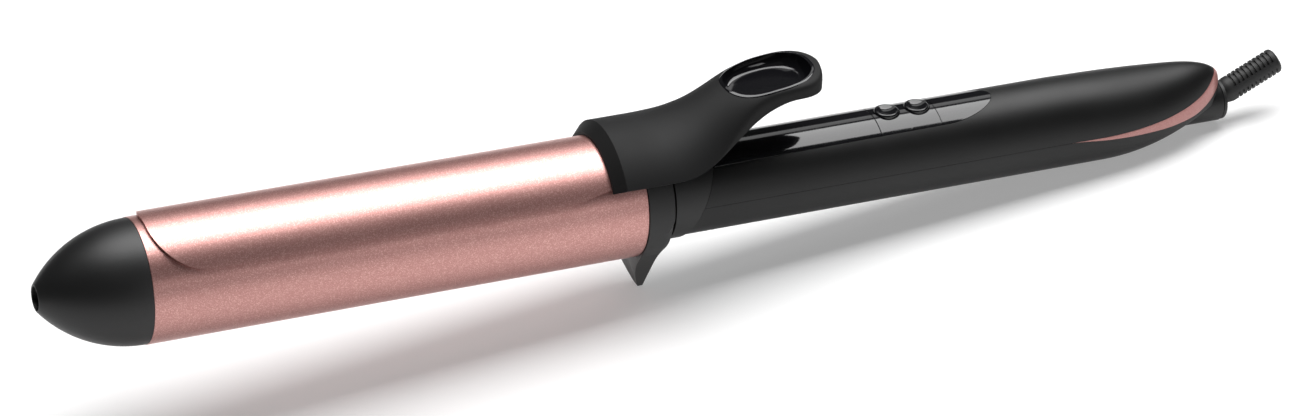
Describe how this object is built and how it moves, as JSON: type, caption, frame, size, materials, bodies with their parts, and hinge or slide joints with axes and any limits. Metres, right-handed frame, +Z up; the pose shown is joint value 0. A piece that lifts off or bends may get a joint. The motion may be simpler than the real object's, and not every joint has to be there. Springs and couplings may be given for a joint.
{
  "type": "curling iron",
  "caption": "Curling iron: a rose barrel with a spring clamp and thumb lever, a stand foot, a black handle with a glossy key panel and a jointed cord swivel.",
  "frame": {"origin": "centre of the whole part's footprint, on the surface that it stands on", "axes": "+X along the iron toward the cord, +Z up from the surface, +Y to the far side; the iron leans tip-up on its foot and on the rear of its handle"},
  "size_m": [0.4084, 0.0402, 0.0693],
  "materials": {
    "rose_gold_coat": "satin",
    "soft_touch_black": "matte",
    "stand_black": "satin",
    "tip_black": "matte",
    "gloss_black": "gloss",
    "rose_gold_trim": "satin",
    "relief_rubber": "matte",
    "bright_steel": "satin",
    "spreader_aluminium": "satin",
    "heater_ceramic": "matte",
    "mica_board": "matte",
    "lead_sleeve": "matte",
    "board_green": "satin",
    "choke_copper": "satin",
    "component_black": "matte",
    "capacitor_yellow": "satin",
    "led_lens": "gloss",
    "contact_brass": "satin"
  },
  "bodies": {
    "root": {"barrel_tube": "rose_gold_coat", "cool_tip": "tip_black", "tip_screw": "bright_steel", "tip_bracket": "bright_steel", "ptc_heater": "heater_ceramic", "upper_spreader": "spreader_aluminium", "lower_spreader": "spreader_aluminium", "spreader_springs": "bright_steel", "temperature_sensor": "component_black", "thermal_fuse": "component_black", "insulating_disc": "mica_board", "heater_leads": "lead_sleeve", "heat_collar": "stand_black", "neck_housing": "stand_black", "hinge_pin": "bright_steel", "clamp_spring": "bright_steel", "upper_casing": "soft_touch_black", "lower_casing": "soft_touch_black", "accent_trim": "rose_gold_trim", "casing_screws": "bright_steel", "front_panel": "gloss_black", "button_plate": "gloss_black", "rear_panel": "gloss_black", "circuit_board": "board_green", "board_screws": "bright_steel", "tact_switches": "component_black", "indicator_leds": "led_lens", "suppression_capacitor": "capacitor_yellow", "choke_coil": "choke_copper", "triac": "component_black", "mains_leads": "lead_sleeve", "contact_brushes": "contact_brass"},
    "clamp": {"clamp_plate": "rose_gold_coat", "clamp_bracket": "bright_steel", "plate_rivets": "bright_steel", "lever_shell": "soft_touch_black", "thumb_dish": "gloss_black", "lever_screws": "bright_steel"},
    "power_key": {"power_button": "gloss_black"},
    "heat_key": {"heat_button": "gloss_black"},
    "cord_swivel": {"swivel_rotor": "stand_black", "slip_rings": "contact_brass"},
    "cord_relief": {"strain_relief": "relief_rubber", "tilt_pins": "bright_steel"}
  },
  "joints": [
    {"name": "clamp_hinge", "type": "hinge", "parent": "root", "child": "clamp", "pos_m": [-0.00318, 0, 0.04586], "axis": [0, 1, 0], "range_deg": [0, 15], "stiffness_Nm_per_rad": 0.77, "springref_deg": -18.62, "deforming": ["clamp_spring"]},
    {"name": "power_press", "type": "slide", "parent": "root", "child": "power_key", "axis": [-0.1084, 0, -0.9941], "range_m": [0, 0.0007], "stiffness_N_per_m": 1500, "springref_m": -0.001},
    {"name": "heat_press", "type": "slide", "parent": "root", "child": "heat_key", "axis": [-0.1084, 0, -0.9941], "range_m": [0, 0.0007], "stiffness_N_per_m": 1500, "springref_m": -0.001},
    {"name": "cord_turn", "type": "hinge", "parent": "root", "child": "cord_swivel", "pos_m": [0.1813, 0, 0.00794], "axis": [0.9941, 0, -0.1084], "continuous": true},
    {"name": "cord_tilt", "type": "hinge", "parent": "cord_swivel", "child": "cord_relief", "pos_m": [0.1813, 0, 0.00794], "axis": [0, 1, 0], "range_deg": [0, 52]}
  ]
}
